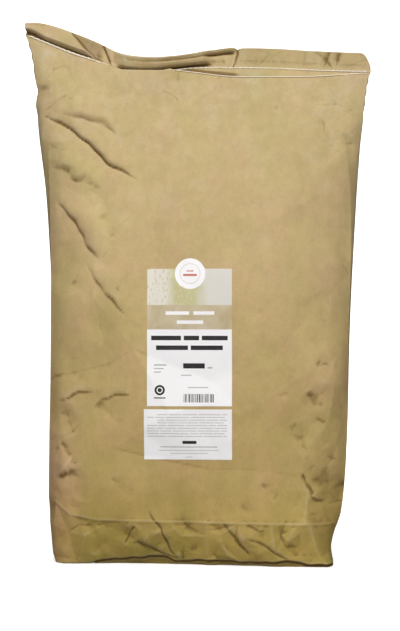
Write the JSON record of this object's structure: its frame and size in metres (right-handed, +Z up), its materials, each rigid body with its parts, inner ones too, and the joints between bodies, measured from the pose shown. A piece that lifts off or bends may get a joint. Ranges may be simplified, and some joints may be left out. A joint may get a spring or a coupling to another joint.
{
  "type": "bag of flour",
  "caption": "Filled kraft paper sack of flour that stands on its folded bottom, with a sewn mouth, a paper lip above the seam and two glued labels.",
  "frame": {"origin": "middle of the base that the sack stands on, on the floor plane", "axes": "+Z up to the sewn mouth, +X to the right seen from the labelled front, -Y out of the labelled front"},
  "size_m": [0.51, 0.161, 0.7951],
  "materials": {
    "kraft_paper": "unbleached brown kraft sack paper, matt with a faint sheen, creased",
    "label_paper": "coated white label paper, smooth and slightly satin",
    "cotton_thread": "undyed twisted cotton sewing thread, matt"
  },
  "bodies": {
    "root": {"sack": "kraft_paper", "upper_label": "label_paper", "lower_label": "label_paper", "seam_thread": "cotton_thread", "loose_thread": "cotton_thread"}
  },
  "joints": []
}
